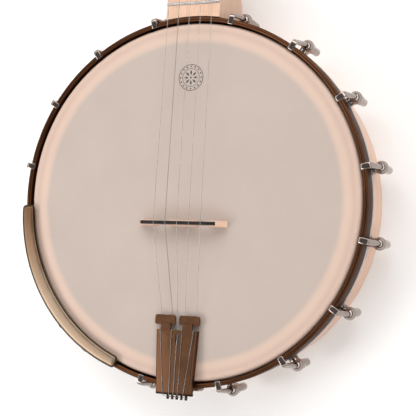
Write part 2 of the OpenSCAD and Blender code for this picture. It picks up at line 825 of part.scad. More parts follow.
module post_coil(n) {
    last = string_post_z - 2 * string_r[n - 1] - 0.06;
    turns = (coil_turns - 1) * (2 * string_r[n - 1] + seat);
    color(n == 4 ? bronze_light : steel) at_tuner(n) translate([0, 0, last - turns]) coil(n, post_r);
}

module string_coil_1() { post_coil(1); }
module string_coil_2() { post_coil(2); }
module string_coil_3() { post_coil(3); }
module string_coil_4() { post_coil(4); }

// ---------- neck ----------

// One cross-section: a flat fingerboard, short straight sides and a rounded back.
function neck_section(y) =
    let (
        l = left_edge(y), r = right_edge(y), top = top_at(y), k = 2 / squareness(y),
        cx = (l + r) / 2, hw = (r - l) / 2, low = depth_at(y) - neck_side + min(0, top)
    )
    concat(
        [[l, y, top]],
        [for (i = [0:neck_back_points - 1]) let (a = 180 * i / (neck_back_points - 1))
            [cx - hw * sign(cos(a)) * pow(abs(cos(a)), k), y, top - neck_side - low * pow(sin(a), k)]],
        [[r, y, top]]
    );

neck_ys = concat(
    [for (i = [0:3]) mix(heel_end, heel_flat, i / 4)],
    [for (i = [0:15]) mix(heel_flat, heel_start, i / 16)],
    [for (i = [0:9]) mix(heel_start, shoulder_from, i / 10)],
    [for (i = [0:7]) mix(shoulder_from, shoulder_to, i / 8)],
    [for (i = [0:5]) mix(shoulder_to, 0, i / 6)],
    [0, 0.02, 8, 16, 26]
);

module neck_shaft() {
    n = neck_back_points + 2;
    m = len(neck_ys);
    points = [for (y = neck_ys) each neck_section(y)];
    polyhedron(points, concat(
        [[for (i = [n - 1:-1:0]) i]],
        [for (j = [0:m - 2]) for (i = [0:n - 1]) let (a = j * n + i, b = j * n + (i + 1) % n) each
            [[a, b, b + n], [a, b + n, a + n]]],
        [[for (i = [0:n - 1]) (m - 1) * n + i]]
    ));
}

// Half the peghead's width at a distance from the nut.
function peghead_half(s) = nut_w / 2 + 0.4 + 16.6 * ease((s - 8) / 24) + 2.5 * ease((s - 32) / 100);
peghead_side = peghead_len - 12;

module peghead_outline() {
    steps = 24;
    edge = peghead_half(peghead_side);
    right = [for (i = [0:steps]) let (s = peghead_side * i / steps) [peghead_half(s), s]];
    crown = [for (i = [1:steps - 1]) let (x = edge * (1 - 2 * i / steps))
        [x, peghead_side + 12 * pow(1 - pow(x / edge, 2), 0.7)]];
    left = [for (i = [steps:-1:0]) let (s = peghead_side * i / steps) [-peghead_half(s), s]];
    polygon(concat(right, crown, left));
}

module neck() {
    clear = 300;
    color(maple) difference() {
        union() {
            at_neck() neck_shaft();
            at_peghead() translate([0, 0, -peghead_t]) linear_extrude(peghead_t) peghead_outline();
        }
        at_pot() cylinder(h = clear, r = rim_r + seat, center = true, $fn = 240);
        at_pot() translate([0, 0, flesh_low - 1]) cylinder(h = clear, r = pot_edge, $fn = 240);
        for (z = [rod_z, upper_bolt_z]) at_pot() translate([0, rim_r - 5, z]) rotate([-90, 0, 0])
            cylinder(h = neck_bolt_in + 6, r = neck_bolt_r + bolt_gap);
        for (n = [1:4]) at_tuner(n) {
            translate([0, 0, -peghead_t - 5]) cylinder(h = peghead_t + 10, r = bushing_r + bolt_gap);
            translate([tuner_screw_u, tuner_screw_y, -peghead_t - 1])
                cylinder(h = 9, r = tuner_screw_r + bolt_gap, $fn = 32);
        }
        for (p = inlay_at) at_neck() translate([p[0], p[1], -inlay_t])
            cylinder(h = inlay_t + 1, r = inlay_r + seat, $fn = 48);
        at_fifth_peg() translate([0, 0, -peg_shank - 0.5])
            cylinder(h = peg_shank + 8, r = peg_shank_r + seat);
    }
}

module frets() {
    crown_r = 1.3;
    crown_z = -0.3;
    margin = 0.3;
    color(nickel) at_neck() for (n = [1:fret_count]) {
        y = fret_y(n);
        l = left_edge(y) + margin;
        r = right_edge(y) - margin;
        intersection() {
            translate([l, y, crown_z]) rotate([0, 90, 0]) cylinder(h = r - l, r = crown_r, $fn = 48);
            translate([l - 1, y - 3, seat]) cube([r - l + 2, 6, 4]);
        }
    }
}

module inlays() {
    color(pearl) at_neck() for (p = inlay_at) translate([p[0], p[1], -inlay_t + seat])
        cylinder(h = inlay_t - seat, r = inlay_r, $fn = 48);
}

module nut() {
    thick = 4.6;
    height = 2.2;
    color(bone) difference() {
        at_neck() translate([peghead_x - nut_w / 2, 0.05, -nut_ledge + seat])
            cube([nut_w, thick, nut_ledge + height]);
        for (n = [1:4]) at_neck() translate([(3 - n) * gap_nut - 0.45, -1, string_nut_z - 0.35])
            cube([0.9, thick + 2, 5]);
    }
}

module fifth_string_nut() {
    color(bone) at_neck() difference() {
        translate([-fifth_x, pip_y, seat]) cylinder(h = pip_top + 0.5, r = pip_r, $fn = 32);
        translate([-fifth_x - 0.4, pip_y - 3, pip_top - 0.1]) cube([0.8, 6, 3]);
    }
}

// ---------- tuners ----------

// Sealed gear housings: a box under the peghead, with bearings for post and worm shaft.
module tuner_housings() {
    u0 = housing_u[0];
    u1 = housing_u[1];
    y0 = housing_y[0];
    y1 = housing_y[1];
    z0 = housing_z[0];
    z1 = housing_z[1];
    w = housing_wall;
    color(nickel) for (n = [1:4]) at_tuner(n) difference() {
        union() {
            translate([u0, y0, z0]) cube([u1 - u0, y1 - y0, z1 - z0]);
            translate([u1 - 1, worm_y, gear_z]) rotate([0, 90, 0]) cylinder(h = 4, r = 4.2);
            translate([tuner_screw_u, tuner_screw_y, z1 - lug_t]) cylinder(h = lug_t, r = 2.6);
            translate([tuner_screw_u - 2.6, tuner_screw_y, z1 - lug_t]) cube([5.2, 5, lug_t]);
        }
        translate([u0 + w, y0 + w, z0 + w]) cube([u1 - u0 - 2 * w, y1 - y0 - 2 * w, z1 - z0 - 2 * w]);
        translate([0, 0, z1 - 5]) cylinder(h = 10, r = post_r + run);
        translate([u0 + 0.6, worm_y, gear_z]) rotate([0, 90, 0]) cylinder(h = 30, r = worm_shaft_r + run);
        translate([tuner_screw_u, tuner_screw_y, z1 - 5])
            cylinder(h = 10, r = tuner_screw_r + bolt_gap, $fn = 32);
    }
}

// A threaded bushing from the front, with a hexagonal head.
module tuner_bushings() {
    head_low = seat + tuner_washer_t + seat;
    color(nickel) for (n = [1:4]) at_tuner(n) difference() {
        union() {
            translate([0, 0, -peghead_t + seat]) cylinder(h = peghead_t + head_low, r = bushing_r);
            translate([0, 0, head_low]) cylinder(h = 1.2, r = 6.2, $fn = 6);
        }
        translate([0, 0, -peghead_t - 1]) cylinder(h = peghead_t + 6, r = post_r + run);
    }
}

module tuner_washers() {
    color(nickel) for (n = [1:4]) at_tuner(n) translate([0, 0, seat]) difference() {
        cylinder(h = tuner_washer_t, r = 7.4);
        translate([0, 0, -1]) cylinder(h = 3, r = bushing_r + bolt_gap);
    }
}

module tuner_screws() {
    screw_head_t = 1.1;
    under_lug = housing_z[1] - lug_t - seat;
    color(nickel) for (n = [1:4]) at_tuner(n) translate([tuner_screw_u, tuner_screw_y, under_lug]) {
        cylinder(h = lug_t + 6, r = tuner_screw_r, $fn = 32);
        translate([0, 0, -screw_head_t]) cylinder(h = screw_head_t, r = 2, $fn = 32);
    }
}

// The post, with a waist where the string winds and a cross hole above it.
module post(n) {
    color(nickel) at_tuner(n) difference() {
        union() {
            translate([0, 0, post_low]) cylinder(h = post_top - post_low - 0.8, r = post_r);
            translate([0, 0, post_top - 0.8]) cylinder(h = 0.8, r1 = post_r, r2 = post_r - 0.8);
        }
        translate([0, 0, post_top - 4.5]) rotate([90, 0, 0])
            cylinder(h = 20, r = 0.9, center = true, $fn = 32);
    }
}

module tuner_post_1() { post(1); }
module tuner_post_2() { post(2); }
module tuner_post_3() { post(3); }
module tuner_post_4() { post(4); }

// The worm wheel's rim is a plain band that runs clear of the worm.
module wheel(n) {
    color([0.72, 0.58, 0.30]) at_tuner(n) translate([0, 0, gear_z - 2.2]) difference() {
        cylinder(h = 4.4, r = gear_r);
        translate([0, 0, -1]) cylinder(h = 7, r = post_r + seat);
        for (a = [0:60:300]) rotate([0, 0, a]) translate([gear_r + 0.2, 0, -1])
            cylinder(h = 7, r = 0.7, $fn = 24);
    }
}

module worm_wheel_1() { wheel(1); }
module worm_wheel_2() { wheel(2); }
module worm_wheel_3() { wheel(3); }
module worm_wheel_4() { wheel(4); }

// The worm and its shaft, which runs out through the housing to the button.
module worm(n) {
    worm_half = 5.4;
    shaft_from = housing_u[0] + 1;
    shaft_to = button_u - 4;
    color(nickel) at_worm(n) {
        translate([0, 0, shaft_from]) cylinder(h = shaft_to - shaft_from, r = worm_shaft_r);
        for (z = [-worm_half:1.8:worm_half - 1]) translate([0, 0, z]) cylinder(h = 1, r = worm_r);
        translate([0, 0, housing_u[1] + 3.2]) cylinder(h = 3, r = 3);
    }
}

module worm_shaft_1() { worm(1); }
module worm_shaft_2() { worm(2); }
module worm_shaft_3() { worm(3); }
module worm_shaft_4() { worm(4); }

// Half of a disc's profile: flat in the middle, rounded over to a blunt edge.
module button_profile() {
    round = 3;
    half = button_t / 2;
    polygon(concat([[0, -half]], arc(button_r - round, -half + round, round, 270, 350, 6),
        arc(button_r - round, half - round, round, 10, 90, 6), [[0, half]]));
}

// A thick round disc on edge, with a collar that takes the shaft, along +Z.
module button_shape(bore, at) {
    low = at - button_r - 1;
    difference() {
        union() {
            translate([0, 0, at]) rotate([0, 90, 0]) rotate_extrude() button_profile();
            translate([0, 0, low]) cylinder(h = 5, r = 3);
        }
        translate([0, 0, low - 1]) cylinder(h = button_r - 1.8, r = bore);
    }
}

module button(n) {
    color(nickel) at_worm(n) button_shape(worm_shaft_r + seat, button_u);
}

module tuner_button_1() { button(1); }
module tuner_button_2() { button(2); }
module tuner_button_3() { button(3); }
module tuner_button_4() { button(4); }

// ---------- fifth-string peg ----------

// A shank pressed into the neck, a core that the spool turns on, and a gear case.
module fifth_peg_body() {
    color(nickel) at_fifth_peg() difference() {
        union() {
            translate([0, 0, -peg_shank]) cylinder(h = peg_shank + 0.5, r = peg_shank_r);
            cylinder(h = peg_collar, r = 4.4);
            cylinder(h = peg_body_from + 1, r = peg_core_r);
            translate([0, 0, peg_body_from]) cylinder(h = peg_body_len - 1.5, r = peg_body_r);
            translate([0, 0, peg_body_end - 1.5]) cylinder(h = 1.5, r1 = peg_body_r, r2 = peg_body_r - 1.5);
        }
        translate([0, 0, peg_body_end - 6]) cylinder(h = 8, r = peg_shaft_r + run);
    }
}

module fifth_peg_spool() {
    lip = 1;
    color(nickel) at_fifth_peg() translate([0, 0, spool_from]) difference() {
        union() {
            cylinder(h = spool_len, r = spool_r);
            cylinder(h = 0.7, r = spool_r + 0.15);
            translate([0, 0, spool_len - lip]) cylinder(h = lip, r = spool_r + 1.4);
        }
        translate([0, 0, -1]) cylinder(h = spool_len + 2, r = peg_core_r + run);
    }
}

module fifth_peg_button() {
    at = peg_body_end + 12;
    color(nickel) at_fifth_peg() {
        translate([0, 0, peg_body_end - 5.8]) cylinder(h = at - peg_body_end + 3.5, r = peg_shaft_r);
        button_shape(peg_shaft_r - 0.5, at);
    }
}

module fifth_string_coil() {
    color(steel) at_fifth_peg() translate([0, 0, spool_from + 2.1]) coil(5, spool_r);
}

rim();
head();
flesh_hoop();
tension_hoop();
tension_hooks();
bracket_shoes();
shoe_bolts();
shoe_washers();
bracket_nuts();
coordinator_rod();
rod_end_bolt();
neck_bolts();
neck_nuts();
rim_washers();
tailpiece();
tailpiece_bracket();
tailpiece_screws();
armrest();
armrest_brackets();
armrest_screws();
bridge_base();
bridge_cap();
string_1();
string_2();
string_3();
string_4();
string_5();
neck();
frets();
inlays();
nut();
fifth_string_nut();
tuner_housings();
tuner_bushings();
tuner_washers();
tuner_screws();
tuner_post_1();
tuner_post_2();
tuner_post_3();
tuner_post_4();
worm_wheel_1();
worm_wheel_2();
worm_wheel_3();
worm_wheel_4();
worm_shaft_1();
worm_shaft_2();
worm_shaft_3();
worm_shaft_4();
tuner_button_1();
tuner_button_2();
tuner_button_3();
tuner_button_4();
string_coil_1();
string_coil_2();
string_coil_3();
string_coil_4();
fifth_peg_body();
fifth_peg_spool();
fifth_peg_button();
fifth_string_coil();
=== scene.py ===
import json
import math

import bmesh
import bpy
from mathutils import Matrix, Vector


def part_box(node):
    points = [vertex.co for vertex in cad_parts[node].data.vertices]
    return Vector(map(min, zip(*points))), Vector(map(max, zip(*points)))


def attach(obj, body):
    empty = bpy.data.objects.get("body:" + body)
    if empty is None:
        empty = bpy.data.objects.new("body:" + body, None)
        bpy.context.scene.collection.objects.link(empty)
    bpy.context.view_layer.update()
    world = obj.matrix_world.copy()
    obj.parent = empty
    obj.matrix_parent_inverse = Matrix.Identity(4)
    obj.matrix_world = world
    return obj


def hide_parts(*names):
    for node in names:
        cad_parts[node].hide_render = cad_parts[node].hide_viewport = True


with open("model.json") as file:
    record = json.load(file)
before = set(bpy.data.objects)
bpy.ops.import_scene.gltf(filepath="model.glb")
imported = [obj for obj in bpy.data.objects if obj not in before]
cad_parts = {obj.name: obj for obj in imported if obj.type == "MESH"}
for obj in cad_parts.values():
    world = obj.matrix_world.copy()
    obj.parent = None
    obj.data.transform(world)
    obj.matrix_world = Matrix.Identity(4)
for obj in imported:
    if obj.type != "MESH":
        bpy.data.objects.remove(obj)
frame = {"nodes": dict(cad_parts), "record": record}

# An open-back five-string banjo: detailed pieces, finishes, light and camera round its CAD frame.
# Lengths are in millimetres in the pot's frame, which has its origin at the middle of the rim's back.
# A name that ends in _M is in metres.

MM = 0.001
WELD_M = 2e-6
WELD = 0.0005
FLAT_DEGREES = 0.3
FILLET_STEPS = 4
RIM_WALL = 15
TAU = 2 * math.pi

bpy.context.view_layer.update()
bodies = frame["record"]["behaviour"]["bodies"]
body_of = {node: body for body, members in bodies.items() for node in members}
slot_of = {name: obj.data.materials[0].name.split(".")[0] for name, obj in frame["nodes"].items()}

rim_low, rim_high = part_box("rim")
pot_centre = Vector(((rim_low.x + rim_high.x) / 2, (rim_low.y + rim_high.y) / 2, rim_low.z))
POT = Matrix.Translation(pot_centre) @ Matrix.Scale(MM, 4)
TO_POT = POT.inverted()


# ---------- reading the CAD frame ----------

def pot_box(node):
    """A CAD node's lowest and highest corners in the pot's frame."""
    low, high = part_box(node)
    return TO_POT @ low, TO_POT @ high


def cad_mesh(node):
    """A welded copy of a CAD node's mesh, in the pot's frame."""
    shape = bmesh.new()
    shape.from_mesh(frame["nodes"][node].data)
    bmesh.ops.remove_doubles(shape, verts=shape.verts, dist=WELD_M)
    bmesh.ops.transform(shape, matrix=TO_POT, verts=shape.verts)
    return shape


def cad_points(node):
    """The places of all a CAD node's corners, in the pot's frame."""
    shape = cad_mesh(node)
    points = [vert.co.copy() for vert in shape.verts]
    shape.free()
    return points


def solids(node):
    """The corner points of each separate solid in a CAD node."""
    shape = cad_mesh(node)
    seen = set()
    groups = []
    for start in shape.verts:
        if start in seen:
            continue
        seen.add(start)
        stack = [start]
        group = []
        while stack:
            vert = stack.pop()
            group.append(vert.co.copy())
            for edge in vert.link_edges:
                other = edge.other_vert(vert)
                if other not in seen:
                    seen.add(other)
                    stack.append(other)
        groups.append(group)
    shape.free()
    return groups


def middle(points):
    """The middle of the points' box."""
    return Vector([(min(p[i] for p in points) + max(p[i] for p in points)) / 2 for i in range(3)])


def reach(point):
    """Distance from the pot's axis."""
    return math.hypot(point.x, point.y)


def bearing(point):
    """A point's angle round the pot's axis."""
    return math.atan2(point.y, point.x)


def flat_mesh(node):
    """A CAD node's mesh with its flat facets merged."""
    shape = cad_mesh(node)
    limit = math.radians(FLAT_DEGREES)
    bmesh.ops.dissolve_limit(shape, angle_limit=limit, verts=shape.verts, edges=shape.edges)
    return shape


rim_r = (rim_high.x - rim_low.x) / 2 / MM
hook_angles = sorted(bearing(middle(points)) for points in solids("tension_hooks"))


# ---------- building shapes ----------

def loft(shape, rings, at=Matrix(), closed=False):
    """Skins closed rings of points one after another, with a cap at each end unless the path is closed."""
    rows = [[shape.verts.new(at @ Vector(point)) for point in ring] for ring in rings]
    pairs = list(zip(rows, rows[1:]))
    if closed:
        pairs.append((rows[-1], rows[0]))
    for one, two in pairs:
        for i in range(len(one)):
            j = (i + 1) % len(one)
            shape.faces.new((one[i], one[j], two[j], two[i]))
    if not closed:
        shape.faces.new(rows[0][::-1])
        shape.faces.new(rows[-1])


def circle(r, z, count):
    """A level ring of count points about Z."""
    return [(r * math.cos(TAU * i / count), r * math.sin(TAU * i / count), z) for i in range(count)]


def turned(shape, profile, count):
    """A solid of revolution about Z, from a list of (radius, height)."""
    loft(shape, [circle(r, z, count) for r, z in profile])


def ringed(shape, section, at, count):
    """A ring about Z with a closed section of (radius, height) points."""
    angles = [TAU * i / count for i in range(count)]
    rings = [[(r * math.cos(a), r * math.sin(a), z) for r, z in section] for a in angles]
    loft(shape, rings, at, closed=True)


def slab(shape, outline, low, high, at):
    """An outline of (x, y) points, extruded from low to high."""
    loft(shape, [[(x, y, z) for x, y in outline] for z in (low, high)], at)


def tube(shape, points, radius, sides):
    """A round wire along a smooth list of points."""
    across = None
    rings = []
    for i, point in enumerate(points):
        along = (points[min(i + 1, len(points) - 1)] - points[max(i - 1, 0)]).normalized()
        if across is None:
            across = along.orthogonal().normalized()
        across = (across - along * across.dot(along)).normalized()
        other = along.cross(across)
        rings.append([
            point + radius * (math.cos(TAU * k / sides) * across + math.sin(TAU * k / sides) * other)
            for k in range(sides)
        ])
    loft(shape, rings)


def fillet(corners):
    """A closed outline of (x, y, radius) corners, each rounded to its own radius."""
    outline = []
    for i, corner in enumerate(corners):
        here = Vector(corner[:2])
        radius = corner[2]
        before = Vector(corners[i - 1][:2]) - here
        after = Vector(corners[(i + 1) % len(corners)][:2]) - here
        cut = min(radius / math.tan(before.angle(after) / 2), before.length * 0.49, after.length * 0.49)
        start = here + before.normalized() * cut
        end = here + after.normalized() * cut
        for k in range(FILLET_STEPS + 1):
            t = k / FILLET_STEPS
            outline.append((1 - t) ** 2 * start + 2 * t * (1 - t) * here + t * t * end)
    return outline


def add_piece(name, shape, look, nodes, bevel=0, smooth=35):
    """Makes an object of a shape in the pot's frame, which stands for the given CAD nodes.

    Edges sharper than smooth degrees stay sharp, or get a small bevel where a width is given.
    """
    bmesh.ops.remove_doubles(shape, verts=shape.verts, dist=WELD)
    bmesh.ops.recalc_face_normals(shape, faces=shape.faces)
    bmesh.ops.transform(shape, matrix=POT, verts=shape.verts)
    mesh = bpy.data.meshes.new(name)
    shape.to_mesh(mesh)
    shape.free()
    for layer in [a for a in mesh.attributes if a.name == "custom_normal"]:
        mesh.attributes.remove(layer)
    mesh.materials.clear()
    mesh.materials.append(look)
    for polygon in mesh.polygons:
        polygon.material_index = 0
    mesh.shade_smooth()
    piece = bpy.data.objects.new(name, mesh)
    bpy.context.scene.collection.objects.link(piece)
    if bevel:
        edges = piece.modifiers.new("eased_edges", "BEVEL")
        edges.width = bevel * MM
        edges.segments = 2
        edges.limit_method = "ANGLE"
        edges.angle_limit = math.radians(smooth)
        edges.harden_normals = True
    else:
        mesh.set_sharp_from_angle(angle=math.radians(smooth))
    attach(piece, body_of[nodes[0]])
    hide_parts(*nodes)
    return piece


def refine(node, look, bevel):
    """A CAD node's own shape with its flats merged and its sharp edges eased."""
    add_piece(f"{node}_look", flat_mesh(node), look, [node], bevel)


# ---------- finishes ----------

class Finish:
    """A node material round one Principled shader, with short calls for the nodes it uses."""

    def __init__(self, name, **sockets):
        self.material = bpy.data.materials.new(name)
        self.material.use_nodes = True
        self.tree = self.material.node_tree
        self.shader = next(n for n in self.tree.nodes if n.type == "BSDF_PRINCIPLED")
        for key, value in sockets.items():
            self.shader.inputs[key.replace("_", " ")].default_value = value
        self.place = self.node("ShaderNodeTexCoord").outputs["Object"]

    def node(self, kind, inputs=None, **settings):
        made = self.tree.nodes.new(kind)
        for key, value in settings.items():
            setattr(made, key, value)
        for key, value in (inputs or {}).items():
            if isinstance(value, bpy.types.NodeSocket):
                self.tree.links.new(value, made.inputs[key])
            else:
                made.inputs[key].default_value = value
        return made

    def drive(self, socket, value):
        self.tree.links.new(value, self.shader.inputs[socket])

    def vector(self, operation, a, b):
        return self.node("ShaderNodeVectorMath", {0: a, 1: b}, operation=operation).outputs[0]

    def math(self, operation, a, b):
        return self.node("ShaderNodeMath", {0: a, 1: b}, operation=operation).outputs[0]

    def noise(self, place, size, detail=3.0, rough=0.55):
        """Noise whose features are about size millimetres across."""
        inputs = {"Vector": place, "Scale": 1 / (size * MM), "Detail": detail, "Roughness": rough}
        return self.node("ShaderNodeTexNoise", inputs).outputs["Fac"]

    def ramp(self, value, *stops):
        """A colour ramp. A stop is (position, colour), where a colour is three numbers or one grey."""
        made = self.node("ShaderNodeValToRGB", {0: value})
        elements = made.color_ramp.elements
        while len(elements) < len(stops):
            elements.new(1.0)
        for element, (position, colour) in zip(elements, stops):
            rgb = colour if isinstance(colour, tuple) else (colour,) * 3
            element.position = position
            element.color = (*rgb, 1)
        return made.outputs["Color"]

    def mix(self, factor, a, b, blend="MIX"):
        """Mixes two colours. Each is a socket or three numbers."""
        made = self.node("ShaderNodeMix", data_type="RGBA", blend_type=blend)
        for index, value in ((0, factor), (6, a), (7, b)):
            if isinstance(value, bpy.types.NodeSocket):
                self.tree.links.new(value, made.inputs[index])
            else:
                made.inputs[index].default_value = (*value, 1) if isinstance(value, tuple) else value
        return made.outputs[2]

    def scaled(self, value, low, high, from_low=0.25, from_high=0.75):
        """A value brought from one range to another."""
        inputs = {"Value": value, "From Min": from_low, "From Max": from_high, "To Min": low, "To Max": high}
        return self.node("ShaderNodeMapRange", inputs).outputs["Result"]

    def bump(self, height, depth, strength):
        """Relief of depth millimetres on the shader's normal."""
        inputs = {"Height": height, "Distance": depth * MM, "Strength": strength}
        self.drive("Normal", self.node("ShaderNodeBump", inputs).outputs["Normal"])

    def from_pot(self):
        """The place measured from the pot's centre."""
        return self.vector("SUBTRACT", self.place, tuple(pot_centre))

    def pot_radius(self):
        """Distance from the pot's axis, in metres."""
        flat = self.vector("MULTIPLY", self.from_pot(), (1, 1, 0))
        return self.node("ShaderNodeVectorMath", {0: flat}, operation="LENGTH").outputs["Value"]

    def ring_grain(self, size, slow=0.02, detail=3.0):
        """Streaks that run round the pot, about size millimetres wide."""
        direction = self.vector("MULTIPLY", self.from_pot(), (slow, slow, 1))
        inputs = {
            "Vector": direction, "W": self.pot_radius(), "Scale": 1 / (size * MM), "Detail": detail
        }
        return self.node("ShaderNodeTexNoise", inputs, noise_dimensions="4D").outputs["Fac"]


def wood(name, light, dark, stretch):
    """Fine pale wood, with its grain along the axis that stretch makes slow."""
    f = Finish(name, Coat_Weight=0.12, Coat_Roughness=0.35)
    along = f.vector("MULTIPLY", f.place, stretch)
    grain = f.noise(along, 0.9, detail=6.0, rough=0.6)
    bands = f.noise(along, 6.0, detail=2.0)
    pores = f.noise(along, 0.35, detail=1.0)
    colour = f.ramp(grain, (0.25, dark), (0.7, light))
    tint = f.ramp(bands, (0.3, (0.93, 0.91, 0.88)), (0.7, (1.0, 1.0, 1.0)))
    fleck = f.ramp(pores, (0.3, (0.88, 0.83, 0.78)), (0.38, (1.0, 1.0, 1.0)))
    colour = f.mix(1.0, f.mix(1.0, colour, tint, "MULTIPLY"), fleck, "MULTIPLY")
    f.drive("Base Color", colour)
    f.drive("Roughness", f.scaled(grain, 0.36, 0.5))
    f.bump(pores, 0.02, 0.5)
    return f.material


def rim_wood():
    """Three bent plies with dark glue lines between them, and grain that runs round the rim."""
    f = Finish("bent_maple", Coat_Weight=0.12, Coat_Roughness=0.35)
    grain = f.ring_grain(0.9, slow=0.004, detail=6.0)
    bands = f.ring_grain(7.0, slow=0.004)
    depth = f.scaled(f.pot_radius(), 0, 1, (rim_r - RIM_WALL) * MM, rim_r * MM)
    glue_half = 0.014
    lines = [(1 / 3 - glue_half, 1.0), (1 / 3, 0.45), (1 / 3 + glue_half, 1.0)]
    glue = f.ramp(depth, *lines, *[(position + 1 / 3, grey) for position, grey in lines])
    colour = f.ramp(grain, (0.25, (0.64, 0.40, 0.285)), (0.7, (0.78, 0.52, 0.385)))
    tint = f.ramp(bands, (0.3, (0.92, 0.89, 0.86)), (0.7, (1.0, 1.0, 1.0)))
    f.drive("Base Color", f.mix(1.0, f.mix(1.0, colour, tint, "MULTIPLY"), glue, "MULTIPLY"))
    f.drive("Roughness", f.scaled(grain, 0.38, 0.52))
    f.bump(grain, 0.02, 0.4)
    return f.material


def head_skin():
    """A frosted skin: grey-beige over the hollow pot, warmer where it lies on the wooden rim, and near black
    on its collar under the hoop, which is painted shade.
    """
    f = Finish("frosted_head", Specular_IOR_Level=0.35)
    span = 160 * MM
    place = f.math("DIVIDE", f.pot_radius(), span)
    edge = f.math("ADD", place, f.scaled(f.noise(f.place, 30.0), -0.004, 0.004))
    # The last stop is painted shade: the collar tucked under the hoop goes near black, where the gap's shadow
    # falls.
    colour = f.ramp(
        edge,
        (0.0, (0.415, 0.342, 0.304)), (0.838, (0.408, 0.334, 0.294)), (0.868, (0.535, 0.395, 0.322)),
        (0.885, (0.540, 0.394, 0.320)), (0.912, (0.480, 0.347, 0.284)), (0.938, (0.545, 0.395, 0.320)),
        (0.962, (0.56, 0.42, 0.345)), (0.975, (0.06, 0.045, 0.036))
    )
    cloud = f.ramp(f.noise(f.place, 42.0, detail=4.0), (0.3, 0.955), (0.7, 1.0))
    fine = f.ramp(f.noise(f.place, 1.3, detail=2.0), (0.3, 0.975), (0.7, 1.0))
    f.drive("Base Color", f.mix(1.0, f.mix(1.0, colour, cloud, "MULTIPLY"), fine, "MULTIPLY"))
    f.drive("Roughness", f.scaled(f.noise(f.place, 25.0), 0.5, 0.62))
    f.bump(f.noise(f.place, 0.45, detail=2.0), 0.012, 0.6)
    return f.material


def metal(name, colour, worn, rough, grain, depth=0.004, shade=None, edge_tint=1.0):
    """Metal with a grain in colour, roughness and relief.

    grain makes the noise, shade lays painted shade or sheen over it as a tint, and edge_tint dims the
    reflection at grazing angles.
    """
    f = Finish(name, Metallic=1.0, Specular_Tint=(edge_tint, edge_tint, edge_tint, 1))
    streak = grain(f)
    patch = f.noise(f.place, 9.0, detail=4.0)
    base = f.ramp(streak, (0.3, worn), (0.7, colour))
    tint = f.ramp(patch, (0.3, 0.9), (0.65, 1.0))
    base = f.mix(1.0, base, tint, "MULTIPLY")
    f.drive("Base Color", f.mix(1.0, base, shade(f), "MULTIPLY") if shade else base)
    both = f.math("ADD", f.math("MULTIPLY", streak, 0.5), f.math("MULTIPLY", patch, 0.5))
    f.drive("Roughness", f.scaled(both, rough[0], rough[1], 0.35, 0.65))
    f.bump(streak, depth, 0.6)
    return f.material


def speckle(size):
    """A grain for metal: even specks about size millimetres across."""
    return lambda f: f.noise(f.place, size, detail=3.0)


def streaks(size, stretch):
    """A grain for metal: specks drawn out along the axis that stretch makes slow."""
    return lambda f: f.noise(f.vector("MULTIPLY", f.place, stretch), size, detail=3.0)


def round_pot(size):
    """A grain for metal: streaks that run round the pot."""
    return lambda f: f.ring_grain(size)


def armrest_painted_shade_and_sheen(f):
    """Painted shade and sheen on the armrest: painted shade darkens its edges below the top, and a painted
    sheen makes the top bright at its tail end and darker towards the neck.
    """
    low, high = pot_box("armrest")
    dark_below = high.z - 0.8
    clear_above = high.z - 0.5
    split = f.node("ShaderNodeSeparateXYZ", {0: f.from_pot()})
    depth = f.scaled(split.outputs["Z"], 0, 1, dark_below * MM, clear_above * MM)
    # Painted shade: below the top, the lip and edges go dark as if in shadow.
    edges = f.ramp(depth, (0.0, 0.2), (1.0, 1.0))
    # Painted sheen standing in for the key light's reflection: brighter at the tail end, darker towards the
    # neck.
    worn = f.ramp(
        f.scaled(split.outputs["Y"], 0, 1, low.y * MM, high.y * MM),
        (0.0, (0.78, 0.82, 0.86)), (0.42, (0.80, 0.86, 0.90)),
        (0.7, (0.62, 0.58, 0.54)), (0.92, (0.50, 0.42, 0.36))
    )
    return f.mix(1.0, edges, worn, "MULTIPLY")


def rear_painted_shade(f):
    """Painted shade that darkens the tailpiece round its rear bend and the pins behind it."""
    dark_to = pot_box("tailpiece")[0].y + 5.4
    clear_from = dark_to + 1.3
    place = f.node("ShaderNodeSeparateXYZ", {0: f.from_pot()}).outputs["Y"]
    # Painted shade: towards the rear edge the colour drops to about a fifth.
    return f.ramp(f.scaled(place, 0, 1, dark_to * MM, clear_from * MM), (0.0, 0.22), (1.0, 1.0))


def ebony_wood():
    """Near-black wood with its grain across the banjo, along the bridge."""
    f = Finish("ebony_grain", Specular_IOR_Level=0.25)
    grain = f.noise(f.vector("MULTIPLY", f.place, (0.06, 1, 1)), 0.7, detail=5.0)
    f.drive("Base Color", f.ramp(grain, (0.3, (0.005, 0.004, 0.004)), (0.75, (0.020, 0.015, 0.013))))
    f.drive("Roughness", f.scaled(grain, 0.32, 0.5))
    f.bump(grain, 0.02, 0.5)
    return f.material


def bone_white():
    """Bone with fine pits drawn out across the neck."""
    f = Finish("polished_bone", Subsurface_Weight=0.1, Subsurface_Scale=0.001, Coat_Weight=0.3)
    cloud = f.noise(f.place, 3.0, detail=4.0)
    pits = f.noise(f.vector("MULTIPLY", f.place, (0.3, 1, 1)), 0.3)
    f.drive("Base Color", f.ramp(cloud, (0.3, (0.76, 0.71, 0.58)), (0.7, (0.88, 0.85, 0.76))))
    f.drive("Roughness", f.scaled(pits, 0.28, 0.42))
    f.bump(pits, 0.01, 0.5)
    return f.material


